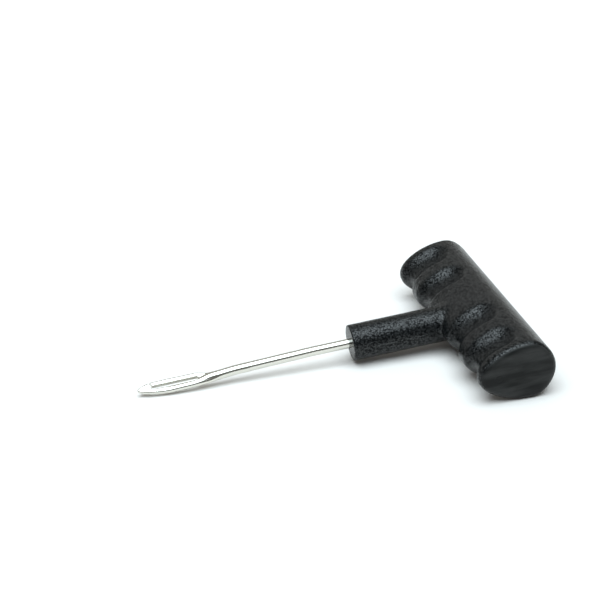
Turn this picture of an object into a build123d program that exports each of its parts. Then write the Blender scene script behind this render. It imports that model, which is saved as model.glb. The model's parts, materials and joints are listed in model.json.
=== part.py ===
from build123d import *
import os

# Tyre plug insertion tool: a T-shaped grip moulded round a plated steel needle with a split eye.
# Frame: X runs along the needle, from the tip (-X) to the grip (+X).  Y runs along the T's bar.
# The origin is the centre of the neck's end face, where the needle leaves the grip.

# ---- driving dimensions, in millimetres and degrees ----
BAR_LENGTH = 106.0
BAR_FINGER_DEPTH = 19.7    # bar's axis to its finger side, towards -X
BAR_PALM_DEPTH = 10.0      # bar's axis to its palm side, towards +X
BAR_HALF_HEIGHT = 11.35
BAR_RIM_RADIUS = 2.0       # rounding between the bar's side and its flat end faces
BAR_CENTRE_X = 54.5        # neck face to the bar's axis, where the bar is highest

NECK_RADIUS = 7.0
NECK_EDGE_RADIUS = 0.4

GROOVE_CENTRES_Y = (19.6, 41.0)   # finger grooves, mirrored to the other side of the neck
GROOVE_TUBE_RADIUS = 9.5          # roundness of a groove across its width
GROOVE_DEPTH = 2.8
GROOVE_HALF_SWEEP = 69.0          # degrees from the finger side to a groove's ball end

CORE_LENGTH = 96.0
CORE_FINGER_DEPTH = 13.6
CORE_PALM_DEPTH = 6.0
CORE_HALF_HEIGHT = 6.0
CORE_NECK_RADIUS = 4.6
CORE_NECK_START_X = 3.0

ROD_RADIUS = 1.85
ROD_INNER_END_X = 58.0
NEEDLE_LENGTH = 83.5       # neck face to tip
BEND_X = -15.0             # the needle bends slightly here, its tip towards -Z
BEND_ANGLE = 1.4

PIN_RADIUS = 0.9
PIN_LENGTH = 10.0
PIN_X = 52.0

HEAD_LENGTH = 38.5         # start of the -Y side's long flare to the tip
HEAD_THICKNESS = 2.3
HEAD_ROLL = 30.0           # the eye's plane is turned this far from the T's plane, +Y side up
TAPER_LENGTH = 13.5        # length over which the round rod flattens into the head
NEAR_EDGE = 3.05           # widest half-breadth on the -Y side
NEAR_FLARE = 13.0          # length of the -Y side's long flare
FAR_EDGE = 3.1             # widest half-breadth on the +Y side
FAR_SHOULDER = 4.0         # length of the +Y side's short shoulder
NOSE_LENGTH = 11.5         # length over which the head narrows to its tip
NOSE_CENTRE_Y = 0.95       # the tip stands this far to the +Y side of the rod's axis
NOSE_WAIST_LENGTH = 5.3    # tip to the point that sets how slim the nose's -Y side is
NOSE_WAIST = 1.95          # half-breadth there
EYE_LENGTH = 18.1
EYE_WIDTH = 1.5
EYE_CENTRE_Y = 0.1
EYE_TO_TIP = 5.25
SPLIT_WIDTH = 0.5
SPLIT_TO_TIP = 5.95


def egg_bar(length, finger_depth, palm_depth, half_height):
    """A bar along Y whose section is two half ellipses, deeper towards the fingers."""
    finger_half = EllipticalCenterArc((BAR_CENTRE_X, 0), finger_depth, half_height, 90, arc_size=180)
    palm_half = EllipticalCenterArc((BAR_CENTRE_X, 0), palm_depth, half_height, -90, arc_size=180)
    section = make_face(finger_half + palm_half)
    return extrude(Plane.XZ.offset(-length / 2) * section, amount=length)


def x_cylinder(radius, start_x, end_x):
    """A round bar along X."""
    return extrude(Plane.YZ.offset(start_x) * Circle(radius), amount=end_x - start_x)


def groove_cutter(centre_y):
    """A bent tube with ball ends that presses one finger groove round the bar's finger side."""
    stand_off = GROOVE_TUBE_RADIUS - GROOVE_DEPTH
    arc = EllipticalCenterArc(
        (BAR_CENTRE_X, 0),
        BAR_FINGER_DEPTH + stand_off,
        BAR_HALF_HEIGHT + stand_off,
        180 - GROOVE_HALF_SWEEP,
        arc_size=2 * GROOVE_HALF_SWEEP,
    )
    path = Plane.XZ.offset(-centre_y) * arc
    start_plane = Plane(origin=path @ 0, z_dir=path % 0)
    cutter = sweep(start_plane * Circle(GROOVE_TUBE_RADIUS), path=path)
    for end in (path @ 0, path @ 1):
        cutter += Pos(*end) * Sphere(GROOVE_TUBE_RADIUS)
    return cutter


def make_grip_outline():
    """The grip's outer shape as one full solid: bar, finger grooves and neck."""
    bar = egg_bar(BAR_LENGTH, BAR_FINGER_DEPTH, BAR_PALM_DEPTH, BAR_HALF_HEIGHT)
    end_edges = bar.edges().filter_by(lambda edge: abs(abs(edge.center().Y) - BAR_LENGTH / 2) < 0.01)
    bar = fillet(end_edges, BAR_RIM_RADIUS)
    for centre_y in GROOVE_CENTRES_Y:
        for side in (-1, 1):
            bar -= groove_cutter(side * centre_y)
    neck = x_cylinder(NECK_RADIUS, 0, BAR_CENTRE_X)
    face_edge = neck.edges().sort_by(Axis.X)[0]
    neck = fillet(face_edge, NECK_EDGE_RADIUS)
    return bar + neck


def make_core_outline():
    """The rigid T inside the grip, as one full solid."""
    bar = egg_bar(CORE_LENGTH, CORE_FINGER_DEPTH, CORE_PALM_DEPTH, CORE_HALF_HEIGHT)
    return bar + x_cylinder(CORE_NECK_RADIUS, CORE_NECK_START_X, BAR_CENTRE_X)


def make_head():
    """The flattened eye at the needle's end, in its own plane, before it is rolled."""
    tip_x = -NEEDLE_LENGTH
    root_x = tip_x + HEAD_LENGTH
    flare_end_x = root_x - NEAR_FLARE
    nose_x = tip_x + NOSE_LENGTH
    eye_start_x = tip_x + EYE_TO_TIP + EYE_LENGTH
    tip = (tip_x, NOSE_CENTRE_Y)
    waist = (tip_x + NOSE_WAIST_LENGTH, -NOSE_WAIST)
    shoulder_end = (eye_start_x, FAR_EDGE)
    shoulder_start = (eye_start_x + FAR_SHOULDER, ROD_RADIUS)
    outline = Spline((root_x, -ROD_RADIUS), (flare_end_x, -NEAR_EDGE), tangents=[(-1, 0), (-1, 0)])
    outline += Line((flare_end_x, -NEAR_EDGE), (nose_x, -NEAR_EDGE))
    outline += Spline((nose_x, -NEAR_EDGE), waist, tip, tangents=[(-1, 0), (0, 1)])
    nose_rise = FAR_EDGE - NOSE_CENTRE_Y
    outline += EllipticalCenterArc((nose_x, NOSE_CENTRE_Y), NOSE_LENGTH, nose_rise, 90, arc_size=90)
    outline += Line((nose_x, FAR_EDGE), shoulder_end)
    outline += Spline(shoulder_end, shoulder_start, tangents=[(1, 0), (1, 0)])
    outline += Polyline(shoulder_start, (root_x, ROD_RADIUS), (root_x, -ROD_RADIUS))
    plate = extrude(make_face(outline), amount=HEAD_THICKNESS / 2, both=True)
    slot = Pos(eye_start_x - EYE_LENGTH / 2, EYE_CENTRE_Y, 0) * SlotOverall(EYE_LENGTH, EYE_WIDTH)
    eye = extrude(slot, amount=HEAD_THICKNESS, both=True)
    split_centre = Pos(tip_x + SPLIT_TO_TIP, EYE_CENTRE_Y + FAR_EDGE / 2, 0)
    split = split_centre * Box(SPLIT_WIDTH, FAR_EDGE, 2 * HEAD_THICKNESS)
    return plate - eye - split


def make_needle():
    """The shank: round rod, flattened split eye, and a cross hole at its buried end."""
    root_x = -NEEDLE_LENGTH + HEAD_LENGTH
    taper_start = Plane.YZ.offset(root_x) * Circle(ROD_RADIUS)
    taper_end = Plane.YZ.offset(root_x - TAPER_LENGTH) * Ellipse(ROD_RADIUS, HEAD_THICKNESS / 2)
    taper = loft([taper_start, taper_end])
    outer = x_cylinder(ROD_RADIUS, root_x, BEND_X) + Rot(HEAD_ROLL, 0, 0) * (make_head() + taper)
    bend = Pos(BEND_X, 0, 0)
    outer = bend * Rot(0, -BEND_ANGLE, 0) * Pos(-BEND_X, 0, 0) * outer
    inner = x_cylinder(ROD_RADIUS, BEND_X, ROD_INNER_END_X)
    hole = Pos(PIN_X, 0, 0) * Cylinder(PIN_RADIUS, 4 * ROD_RADIUS)
    return outer + inner + bend * Sphere(ROD_RADIUS) - hole


os.makedirs("parts", exist_ok=True)
grip_outline = make_grip_outline()
core_outline = make_core_outline()
rod_space = x_cylinder(ROD_RADIUS, 0, ROD_INNER_END_X)
anchor_pin = Pos(PIN_X, 0, 0) * Cylinder(PIN_RADIUS, PIN_LENGTH)
parts = {
    "grip_moulding": grip_outline - core_outline - rod_space,
    "grip_core": core_outline - rod_space - anchor_pin,
    "needle": make_needle(),
    "anchor_pin": anchor_pin,
}
for name, shape in parts.items():
    export_step(shape, f"parts/{name}.step")
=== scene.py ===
import bpy
import json
import math
import numpy as np
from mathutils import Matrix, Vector


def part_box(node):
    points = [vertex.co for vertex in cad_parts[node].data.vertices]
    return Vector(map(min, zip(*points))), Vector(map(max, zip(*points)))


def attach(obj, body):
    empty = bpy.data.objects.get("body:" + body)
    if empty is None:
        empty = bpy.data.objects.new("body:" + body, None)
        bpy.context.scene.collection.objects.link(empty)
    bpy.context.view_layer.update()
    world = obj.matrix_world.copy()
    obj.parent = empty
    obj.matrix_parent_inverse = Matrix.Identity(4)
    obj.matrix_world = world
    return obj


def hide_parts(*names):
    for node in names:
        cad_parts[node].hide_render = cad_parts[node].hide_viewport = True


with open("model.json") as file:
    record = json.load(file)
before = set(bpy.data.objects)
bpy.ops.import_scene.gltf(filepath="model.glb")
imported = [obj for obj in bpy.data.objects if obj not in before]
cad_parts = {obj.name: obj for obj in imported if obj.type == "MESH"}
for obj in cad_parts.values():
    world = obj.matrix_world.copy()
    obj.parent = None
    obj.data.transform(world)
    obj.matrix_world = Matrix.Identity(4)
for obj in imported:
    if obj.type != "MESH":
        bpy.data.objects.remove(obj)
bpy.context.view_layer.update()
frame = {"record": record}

# Tyre plug insertion tool: a black pebbled T grip and a plated needle with a split eye.
# Surfaces are drawn as smooth distance functions in millimetres and netted into quads.

MM = 0.001

# ---- sizes in millimetres, read from the frame where it holds them ----
GRIP_LOW, GRIP_HIGH = [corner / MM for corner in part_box("grip_moulding")]
NEEDLE_LOW, NEEDLE_HIGH = [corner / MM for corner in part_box("needle")]
MOUNTS = {mount["name"]: mount for mount in frame["record"]["mounts"]}
NECK_RADIUS = MOUNTS["neck"]["dims"]["r_mm"]
ROD_RADIUS = MOUNTS["shank"]["dims"]["r_mm"]

BAR_HALF_LENGTH = GRIP_HIGH.y
BAR_HALF_HEIGHT = GRIP_HIGH.z
BAR_PALM_DEPTH = 10.0
BAR_FINGER_DEPTH = 19.7
BAR_LOBE = 0.17
BAR_CENTRE_X = GRIP_HIGH.x - BAR_PALM_DEPTH
BAR_RIM = 2.6
NECK_RIM = 0.5
NECK_BLEND = 1.6

GROOVE_CENTRES_Y = (19.6, 41.0)
GROOVE_TUBE = 9.5
GROOVE_DEPTH = 3.1
GROOVE_SWEEP = math.radians(69)
GROOVE_BLEND = 1.2

TIP = -NEEDLE_LOW.x
BEND_X = -15.0
BEND_ANGLE = math.radians(1.4)
HEAD_ROLL = math.radians(30)
HEAD_HALF_THICKNESS = 1.0
HEAD_CORNER = 0.98
ROOT_BLEND = 0.45
EYE_START, EYE_END = 60.15, 78.25
EYE_RADIUS = 0.75
EYE_CENTRE_Y = 0.1
EYE_EDGE = 0.55
EYE_MIDDLE = 69            # the slot's centre line leans by EYE_LEAN about this point
EYE_LEAN = 0.02
SPLIT_S = 77.55
SPLIT_HALF_WIDTH = 0.27
SPLIT_SLANT = 0.45
SPLIT_SLANT_COS = 0.91
PLAIN_ROD_END = 40
NOSE_ROUND = 5.5
NEEDLE_DRAWN_TO_X = 4.0    # past this the needle is inside the grip and out of sight

# the gate's ring mark, in metres because the shader works in metres
GATE_MARK = (0.04206, -0.053, -0.00043)
GATE_RING_RADIUS = 0.0013

# edge of a surface net's cell
GRIP_CELL = 0.42
NEEDLE_CELL = 0.15


# ---------------------------------------------------------------- distance functions
def smooth_max(a, b, reach):
    """The larger of two distances, with the crease between them rounded."""
    blend = np.clip(reach - np.abs(a - b), 0, None) / reach
    return np.maximum(a, b) + blend * blend * reach / 4


def smooth_min(a, b, reach):
    return -smooth_max(-a, -b, reach)


def round_corner(a, b, radius):
    """Intersection of two distances whose edge is a true round of that radius."""
    outside = np.hypot(np.clip(a + radius, 0, None), np.clip(b + radius, 0, None))
    return np.minimum(np.maximum(a, b) + radius, 0) + outside - radius


def step(low, high, value):
    """0 below low, 1 above high, smooth between."""
    t = np.clip((value - low) / (high - low), 0, 1)
    return t * t * (3 - 2 * t)


def egg(x, z):
    """Distance to the bar's section: two half ellipses, deeper towards the fingers, slightly squared."""
    depth = np.where(x < BAR_CENTRE_X, BAR_FINGER_DEPTH, BAR_PALM_DEPTH) - BAR_LOBE
    height = BAR_HALF_HEIGHT - BAR_LOBE
    u, w = (x - BAR_CENTRE_X) / depth, z / height
    level = np.sqrt(u * u + w * w) + 1e-9
    slope = np.sqrt((u / depth) ** 2 + (w / height) ** 2) / level + 1e-9
    return (level - 1) / slope - BAR_LOBE * np.cos(4 * np.arctan2(w, u))


def groove_line(x, z):
    """Distance, seen along Y, to the bent line that a finger groove follows."""
    stand_off = GROOVE_TUBE - GROOVE_DEPTH
    a, b = BAR_FINGER_DEPTH + stand_off, BAR_HALF_HEIGHT + stand_off
    px, pz = BAR_CENTRE_X - x, z
    turn = np.clip(np.arctan2(pz / b, px / a), -GROOVE_SWEEP, GROOVE_SWEEP)
    for _ in range(6):
        c, s = np.cos(turn), np.sin(turn)
        ex, ez = a * c - px, b * s - pz
        first = -ex * a * s + ez * b * c
        second = (a * s) ** 2 + (b * c) ** 2 - ex * a * c - ez * b * s
        move = first / np.maximum(second, 20.0)
        turn = np.clip(turn - np.clip(move, -0.4, 0.4), -GROOVE_SWEEP, GROOVE_SWEEP)
    return np.hypot(a * np.cos(turn) - px, b * np.sin(turn) - pz)


def grip_distance(x, y, z):
    bar = round_corner(egg(x, z), np.abs(y) - BAR_HALF_LENGTH, BAR_RIM)
    line = groove_line(x, z)
    for centre in GROOVE_CENTRES_Y:
        groove = np.hypot(line, np.abs(y) - centre) - GROOVE_TUBE
        bar = smooth_max(bar, -groove, GROOVE_BLEND)
    neck = round_corner(np.hypot(y, z) - NECK_RADIUS, -x, NECK_RIM)
    neck = np.maximum(neck, x - BAR_CENTRE_X)
    return smooth_min(bar, neck, NECK_BLEND)


def head_sides(s):
    """Half breadths of the head on its -Y and +Y sides, s millimetres from the neck."""
    near = ROD_RADIUS + 1.2 * step(46, 60, s) - 2.2 * step(70, 86.5, s)
    far = ROD_RADIUS - 0.35 * step(46, 53, s) + 1.3 * step(55.5, 61.5, s) + 0.28 * step(61, 75, s)
    far = far - 0.5 * step(77.5, 82, s)
    nose = np.clip((s - (TIP - NOSE_ROUND)) / NOSE_ROUND, 0, 1)
    shrink = np.sqrt(np.clip(1 - nose ** 2.3, 0, None))
    centre = 0.8 * step(70, TIP - 2, s)
    near = centre + (near + centre) * shrink - 2 * centre
    far = centre + (far - centre) * shrink
    return near, far


def unbend(x, z):
    """Carries points past the needle's slight bend back to where they lie on a straight needle."""
    c, w = math.cos(BEND_ANGLE), math.sin(BEND_ANGLE)
    past = x < BEND_X
    straight_x = np.where(past, BEND_X + (x - BEND_X) * c + z * w, x)
    straight_z = np.where(past, z * c - (x - BEND_X) * w, z)
    return straight_x, straight_z


def needle_distance(x, y, z):
    """Round rod that swerves into the head's near prong, less the eye and the split at its tip end."""
    x, z = unbend(x, z)
    s = -x
    c, w = math.cos(HEAD_ROLL), math.sin(HEAD_ROLL)
    v = y * c + z * w
    n = z * c - y * w
    near, far = head_sides(s)
    centre, half = (far - near) / 2, (far + near) / 2
    nose = np.clip((s - (TIP - 5.0)) / 5.0, 0, 1)
    thick = HEAD_HALF_THICKNESS * np.sqrt(np.clip(1 - 0.72 * nose ** 2.5, 0, None))
    corner = np.minimum(HEAD_CORNER, np.minimum(half, thick))
    dv, dn = np.abs(v - centre) - half + corner, np.abs(n) - thick + corner
    outside = np.hypot(np.clip(dv, 0, None), np.clip(dn, 0, None))
    head = outside + np.minimum(np.maximum(dv, dn), 0) - corner
    rod_radius = ROD_RADIUS - 0.6 * step(50, 64, s) - 0.35 * step(67, 75, s)
    swerve = -0.45 * step(44, 54, s) - 1.35 * step(54, 63, s) + 0.45 * step(69, 77, s)
    rod = np.maximum(np.hypot(v - swerve, n) - rod_radius, s - (TIP - 7))
    body = np.where(s < PLAIN_ROD_END, np.hypot(y, z) - ROD_RADIUS, smooth_min(head, rod, ROOT_BLEND))
    body = np.maximum(body, s - TIP)
    along = np.clip(s, EYE_START + EYE_RADIUS, EYE_END - EYE_RADIUS)
    eye = np.hypot(s - along, v - EYE_CENTRE_Y - EYE_LEAN * (s - EYE_MIDDLE)) - EYE_RADIUS
    body = smooth_max(body, -eye, EYE_EDGE)
    slant = (s - SPLIT_S) - SPLIT_SLANT * (v - EYE_CENTRE_Y)
    split = np.maximum(np.abs(slant) * SPLIT_SLANT_COS - SPLIT_HALF_WIDTH, EYE_CENTRE_Y - v)
    return smooth_max(body, -split, 0.2)


# ---------------------------------------------------------------- surface nets
def surface_net(distance, low, high, cell):
    """Quads over the zero level of a distance function, inside a box, one vertex per crossed cell."""
    axes = [np.arange(a, b + cell, cell) for a, b in zip(low, high)]
    grid = np.ix_(*axes)
    values = np.broadcast_to(distance(*grid), [len(a) for a in axes])
    inside = values < 0
    shape = [n - 1 for n in inside.shape]

    def corner(array, i, j, k):
        return array[i:i + shape[0], j:j + shape[1], k:k + shape[2]]

    offsets = [(i, j, k) for i in (0, 1) for j in (0, 1) for k in (0, 1)]
    count = sum(corner(inside, *o).astype(np.int8) for o in offsets)
    cells = np.argwhere((count > 0) & (count < 8))
    index = np.full(shape, -1, np.int64)
    index[tuple(cells.T)] = np.arange(len(cells))
    total = np.zeros((len(cells), 3))
    hits = np.zeros((len(cells), 1))
    for o in offsets:
        for axis in range(3):
            if o[axis]:
                continue
            e = list(o)
            e[axis] = 1
            a = values[tuple((cells + o).T)]
            b = values[tuple((cells + e).T)]
            cross = (a < 0) != (b < 0)
            t = np.where(cross, a / np.where(cross, a - b, 1), 0)
            point = np.array(o, float) + np.outer(t, np.eye(3)[axis])
            total += point * cross[:, None]
            hits += cross[:, None]
    points = np.array([a[0] for a in axes]) + (cells + total / hits) * cell
    quads = []
    for axis in range(3):
        u, v = [a for a in range(3) if a != axis]
        here = np.take(inside, range(0, shape[axis]), axis)
        there = np.take(inside, range(1, shape[axis] + 1), axis)
        a = np.argwhere(here != there)
        a = a[(a[:, u] > 0) & (a[:, v] > 0) & (a[:, u] < shape[u]) & (a[:, v] < shape[v])]
        du, dv = np.eye(3, dtype=int)[u], np.eye(3, dtype=int)[v]
        ring = [index[tuple((a - s).T)] for s in (0 * du, du, du + dv, dv)]
        quad = np.stack(ring, 1)
        flip = inside[tuple(a.T)] ^ (axis == 1)
        quad[flip] = quad[flip][:, ::-1]
        quads.append(quad)
    return points, np.concatenate(quads)


def settle(points, distance, steps=4):
    """Moves netted points onto the exact surface, down the distance's own slope."""
    small = 0.01
    for _ in range(steps):
        x, y, z = points.T
        d = distance(x, y, z)
        slope = np.stack([
            distance(x + small, y, z) - distance(x - small, y, z),
            distance(x, y + small, z) - distance(x, y - small, z),
            distance(x, y, z + small) - distance(x, y, z - small),
        ], 1) / (2 * small)
        slope /= np.maximum(np.sum(slope * slope, 1, keepdims=True), 0.2)
        points = points - slope * np.clip(d, -0.3, 0.3)[:, None]
    return points


def make_mesh(name, points, faces):
    mesh = bpy.data.meshes.new(name)
    mesh.from_pydata((points * MM).tolist(), [], faces.tolist())
    mesh.validate()
    mesh.update()
    mesh.shade_smooth()
    piece = bpy.data.objects.new(name, mesh)
    bpy.context.scene.collection.objects.link(piece)
    return piece


def net_piece(name, distance, low, high, cell):
    margin = 3 * cell
    points, quads = surface_net(distance, [v - margin for v in low], [v + margin for v in high], cell)
    return make_mesh(name, settle(points, distance), quads)


# ---------------------------------------------------------------- materials
def new_material(name):
    material = bpy.data.materials.new(name)
    material.use_nodes = True
    return material, material.node_tree.nodes, material.node_tree.links


def add_node(nodes, kind, **values):
    """A shader node with its inputs set by name."""
    node = nodes.new(kind)
    for key, value in values.items():
        if hasattr(node, key):
            setattr(node, key, value)
        else:
            node.inputs[key.replace("_", " ")].default_value = value
    return node


def grain_height(nodes, links, cell_scale, cell_share, fine_scale, fine_share):
    """Height of a moulded pebble grain: warped round cells with finer lumps on them."""
    place = nodes.new("ShaderNodeTexCoord")
    warp = add_node(nodes, "ShaderNodeTexNoise", Scale=cell_scale * 0.7, Detail=2.0)
    shift = add_node(nodes, "ShaderNodeVectorMath", operation="MULTIPLY_ADD")
    shift.inputs[1].default_value = (0.9 / cell_scale,) * 3
    cells = add_node(nodes, "ShaderNodeTexVoronoi", feature="SMOOTH_F1",
                     Scale=cell_scale, Smoothness=0.4)
    fine = add_node(nodes, "ShaderNodeTexNoise", Scale=fine_scale, Detail=2.0)
    dip = add_node(nodes, "ShaderNodeMath", operation="MULTIPLY")
    dip.inputs[1].default_value = -cell_share
    total = add_node(nodes, "ShaderNodeMath", operation="MULTIPLY_ADD")
    total.inputs[1].default_value = fine_share
    links.new(place.outputs["Object"], warp.inputs["Vector"])
    links.new(warp.outputs["Color"], shift.inputs[0])
    links.new(place.outputs["Object"], shift.inputs[2])
    links.new(shift.outputs["Vector"], cells.inputs["Vector"])
    links.new(cells.outputs["Distance"], dip.inputs[0])
    links.new(place.outputs["Object"], fine.inputs["Vector"])
    links.new(fine.outputs["Fac"], total.inputs[0])
    links.new(dip.outputs[0], total.inputs[2])
    return total.outputs[0]


def ramp(nodes, links, value, low, high, start, end):
    """A value carried from one range to another."""
    node = nodes.new("ShaderNodeMapRange")
    for name, number in (("From Min", low), ("From Max", high), ("To Min", start), ("To Max", end)):
        node.inputs[name].default_value = number
    links.new(value, node.inputs["Value"])
    return node.outputs["Result"]


def arithmetic(nodes, links, operation, *values):
    node = add_node(nodes, "ShaderNodeMath", operation=operation)
    for socket, value in zip(node.inputs, values):
        if isinstance(value, float):
            socket.default_value = value
        else:
            links.new(value, socket)
    return node.outputs[0]


def tone(nodes, links, factor, dark, light):
    """A colour between a dark and a light one."""
    mix = add_node(nodes, "ShaderNodeMix", data_type="RGBA")
    mix.inputs[6].default_value = dark
    mix.inputs[7].default_value = light
    links.new(factor, mix.inputs[0])
    return mix.outputs[2]


def mould_line(nodes, links):
    """1 along the thin, broken parting line on the neck's two sides, 0 elsewhere."""
    place = nodes.new("ShaderNodeTexCoord")
    parts = nodes.new("ShaderNodeSeparateXYZ")
    breaks = add_node(nodes, "ShaderNodeTexNoise", Scale=260.0, Detail=1.0)
    links.new(place.outputs["Object"], parts.inputs[0])
    links.new(place.outputs["Object"], breaks.inputs["Vector"])
    offset = arithmetic(nodes, links, "ABSOLUTE", parts.outputs["Z"])
    line = ramp(nodes, links, offset, 0.00012, 0.00032, 1.0, 0.0)
    on_neck = arithmetic(nodes, links, "LESS_THAN", parts.outputs["X"], 0.036)
    whole = ramp(nodes, links, breaks.outputs["Fac"], 0.45, 0.6, 0.0, 1.0)
    neck_line = arithmetic(nodes, links, "MULTIPLY", line, on_neck)
    return arithmetic(nodes, links, "MULTIPLY", neck_line, whole)


def pebbled_plastic():
    material, nodes, links = new_material("pebbled_plastic")
    shader = nodes["Principled BSDF"]
    shader.inputs["Roughness"].default_value = 0.27
    grain = grain_height(nodes, links, 1400.0, 1.0, 3200.0, 0.35)
    line = mould_line(nodes, links)
    height = arithmetic(nodes, links, "ADD", grain, arithmetic(nodes, links, "MULTIPLY", line, 0.5))
    bump = add_node(nodes, "ShaderNodeBump", Strength=1.0, Distance=0.00011)
    # Painted shade: the base colour is darker and the specular level lower in the grain's hollows, and
    # the raised parting line comes out lighter and shinier, a painted highlight along it.
    painted_hollow_specular = ramp(nodes, links, height, -0.55, 0.1, 0.08, 0.6)
    painted_hollow_shade = ramp(nodes, links, height, -0.45, 0.0, 0.0, 1.0)
    colour = tone(nodes, links, painted_hollow_shade, (0.0022, 0.0028, 0.0032, 1), (0.0125, 0.0143, 0.0152, 1))
    links.new(painted_hollow_specular, shader.inputs["Specular IOR Level"])
    links.new(colour, shader.inputs["Base Color"])
    links.new(height, bump.inputs["Height"])
    links.new(bump.outputs["Normal"], shader.inputs["Normal"])
    return material


def smooth_plastic(name, dark, light):
    """Untextured moulded faces: faint streaks, and the gate's ring mark on the near end of the bar."""
    material, nodes, links = new_material(name)
    shader = nodes["Principled BSDF"]
    place = nodes.new("ShaderNodeTexCoord")
    stretch = nodes.new("ShaderNodeMapping")
    stretch.inputs["Scale"].default_value = (50, 90, 260)
    streaks = add_node(nodes, "ShaderNodeTexNoise", Scale=1.0, Detail=4.0)
    gate = add_node(nodes, "ShaderNodeVectorMath", operation="DISTANCE")
    gate.inputs[1].default_value = GATE_MARK
    bump = add_node(nodes, "ShaderNodeBump", Strength=0.8, Distance=0.0001)
    links.new(place.outputs["Object"], stretch.inputs["Vector"])
    links.new(stretch.outputs["Vector"], streaks.inputs["Vector"])
    links.new(place.outputs["Object"], gate.inputs[0])
    from_ring = arithmetic(nodes, links, "SUBTRACT", gate.outputs["Value"], GATE_RING_RADIUS)
    flat = ramp(nodes, links, arithmetic(nodes, links, "ABSOLUTE", from_ring), 0.0001, 0.0005, 0.0, 1.0)
    streak = ramp(nodes, links, streaks.outputs["Fac"], 0.36, 0.64, 0.0, 1.0)
    shade = arithmetic(nodes, links, "MULTIPLY", streak, flat)
    links.new(tone(nodes, links, shade, dark, light), shader.inputs["Base Color"])
    links.new(ramp(nodes, links, streak, 0.0, 1.0, 0.36, 0.5), shader.inputs["Roughness"])
    links.new(ramp(nodes, links, streak, 0.0, 1.0, 0.2, 0.4), shader.inputs["Specular IOR Level"])
    links.new(flat, bump.inputs["Height"])
    links.new(bump.outputs["Normal"], shader.inputs["Normal"])
    return material


def plated_steel():
    material, nodes, links = new_material("plated_steel")
    shader = nodes["Principled BSDF"]
    shader.inputs["Base Color"].default_value = (0.72, 0.71, 0.65, 1)
    shader.inputs["Metallic"].default_value = 1.0
    place = nodes.new("ShaderNodeTexCoord")
    stretch = add_node(nodes, "ShaderNodeMapping")
    stretch.inputs["Scale"].default_value = (60, 2600, 2600)
    lines = add_node(nodes, "ShaderNodeTexNoise", Scale=1.0, Detail=3.0)
    rough = add_node(nodes, "ShaderNodeMapRange", To_Min=0.08, To_Max=0.2)
    bump = add_node(nodes, "ShaderNodeBump", Strength=0.15, Distance=0.00002)
    links.new(place.outputs["Object"], stretch.inputs["Vector"])
    links.new(stretch.outputs["Vector"], lines.inputs["Vector"])
    links.new(lines.outputs["Fac"], rough.inputs["Value"])
    links.new(rough.outputs["Result"], shader.inputs["Roughness"])
    links.new(lines.outputs["Fac"], bump.inputs["Height"])
    links.new(bump.outputs["Normal"], shader.inputs["Normal"])
    return material


PEBBLED = pebbled_plastic()
SMOOTH = smooth_plastic("smooth_plastic", (0.002, 0.0026, 0.0026, 1), (0.0135, 0.0145, 0.014, 1))
# Painted light: the neck's end face is the same plastic as the grip, given a much lighter base colour to
# stand for the light that face catches.
NECK_FACE_PAINTED_LIGHT = smooth_plastic("neck_face_painted_light_plastic", (0.034, 0.035, 0.03, 1), (0.064, 0.065, 0.058, 1))
STEEL = plated_steel()


# ---------------------------------------------------------------- pieces
def make_grip():
    piece = net_piece("grip_body", grip_distance, GRIP_LOW, GRIP_HIGH, GRIP_CELL)
    piece.data.materials.append(PEBBLED)
    piece.data.materials.append(SMOOTH)
    piece.data.materials.append(NECK_FACE_PAINTED_LIGHT)
    for face in piece.data.polygons:
        centre = face.center / MM
        on_bar_end = abs(centre.y) > BAR_HALF_LENGTH - 0.5 * BAR_RIM and abs(face.normal.y) > 0.7
        # index 2 is the neck's end face, drawn with the lighter, painted-light copy of the plastic
        on_neck_face = centre.x < NECK_RIM and face.normal.x < -0.7
        face.material_index = 1 if on_bar_end else 2 if on_neck_face else 0
    return piece


grip = make_grip()
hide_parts("grip_moulding")
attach(grip, "root")

drawn_high = (NEEDLE_DRAWN_TO_X, NEEDLE_HIGH.y, NEEDLE_HIGH.z)
needle = net_piece("needle_body", needle_distance, NEEDLE_LOW, drawn_high, NEEDLE_CELL)
needle.data.materials.append(STEEL)
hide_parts("needle")
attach(needle, "root")


# ---------------------------------------------------------------- camera, floor and light
LIGHT_AIM = (0, -0.26, 0.966)
LIGHT_REACH = 33
LIGHT_COLOUR = (4.1, 4.65, 4.9, 1)
ROOM_FRONT = (0.18, 0.18, 0.175, 1)
ROOM_BACK = (0.46, 0.46, 0.44, 1)

scene = bpy.context.scene
scene.view_settings.view_transform = "Standard"

camera_data = bpy.data.cameras.new("camera")
camera = bpy.data.objects.new("camera", camera_data)
scene.collection.objects.link(camera)
scene.camera = camera
camera.location = (-0.12542, -0.60767, 0.30750)
camera.rotation_euler = [math.radians(a) for a in (65.1775, 7.0668, -13.2076)]
camera_data.sensor_width = 36
camera_data.lens = 109.926


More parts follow.
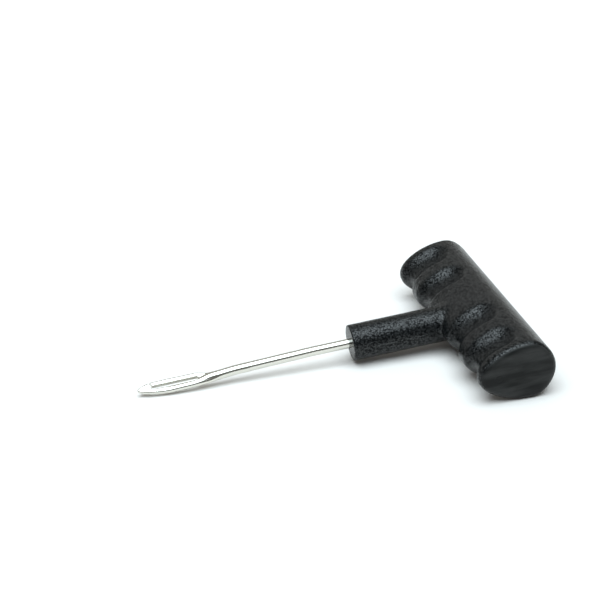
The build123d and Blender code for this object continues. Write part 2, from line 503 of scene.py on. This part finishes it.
def make_floor():
    """A pale table, tilted so that the grip's bar and the needle's tip both rest on it."""
    drop = math.asin((BAR_HALF_HEIGHT + NEEDLE_LOW.z) / (BAR_CENTRE_X + TIP - 5))
    reach = 2.5
    mesh = bpy.data.meshes.new("floor")
    corners = [(-reach, -reach), (reach, -reach), (reach, reach), (-reach, reach)]
    height = -BAR_HALF_HEIGHT * MM
    slope = math.tan(drop)
    points = [(x, y, height + (BAR_CENTRE_X * MM - x) * slope) for x, y in corners]
    mesh.from_pydata(points, [], [(0, 1, 2, 3)])
    floor = bpy.data.objects.new("floor", mesh)
    scene.collection.objects.link(floor)
    material, nodes, links = new_material("table_white")
    nodes["Principled BSDF"].inputs["Base Color"].default_value = (0.78, 0.75, 0.73, 1)
    nodes["Principled BSDF"].inputs["Roughness"].default_value = 0.9
    nodes["Principled BSDF"].inputs["Specular IOR Level"].default_value = 0.1
    mesh.materials.append(material)


def make_world():
    """A dim room, lighter at the back, under one wide soft light that leans towards the camera."""
    world = bpy.data.worlds.new("studio")
    scene.world = world
    world.use_nodes = True
    nodes, links = world.node_tree.nodes, world.node_tree.links
    place = nodes.new("ShaderNodeTexCoord")
    split = nodes.new("ShaderNodeSeparateXYZ")
    depth = add_node(nodes, "ShaderNodeMapRange", interpolation_type="SMOOTHSTEP")
    depth.inputs["From Min"].default_value = -0.7
    depth.inputs["From Max"].default_value = 0.5
    room = add_node(nodes, "ShaderNodeMix", data_type="RGBA")
    room.inputs[6].default_value = ROOM_FRONT
    room.inputs[7].default_value = ROOM_BACK
    aim = add_node(nodes, "ShaderNodeVectorMath", operation="DOT_PRODUCT")
    aim.inputs[1].default_value = Vector(LIGHT_AIM).normalized()
    fade = add_node(nodes, "ShaderNodeMapRange", interpolation_type="SMOOTHSTEP")
    fade.inputs["From Min"].default_value = math.cos(math.radians(LIGHT_REACH + 5))
    fade.inputs["From Max"].default_value = math.cos(math.radians(LIGHT_REACH - 8))
    blend = add_node(nodes, "ShaderNodeMix", data_type="RGBA")
    blend.inputs[7].default_value = LIGHT_COLOUR
    links.new(place.outputs["Generated"], split.inputs[0])
    links.new(split.outputs["Y"], depth.inputs["Value"])
    links.new(depth.outputs["Result"], room.inputs[0])
    links.new(place.outputs["Generated"], aim.inputs[0])
    links.new(aim.outputs["Value"], fade.inputs["Value"])
    links.new(fade.outputs["Result"], blend.inputs[0])
    links.new(room.outputs[2], blend.inputs[6])
    links.new(blend.outputs[2], nodes["Background"].inputs["Color"])


make_floor()
make_world()
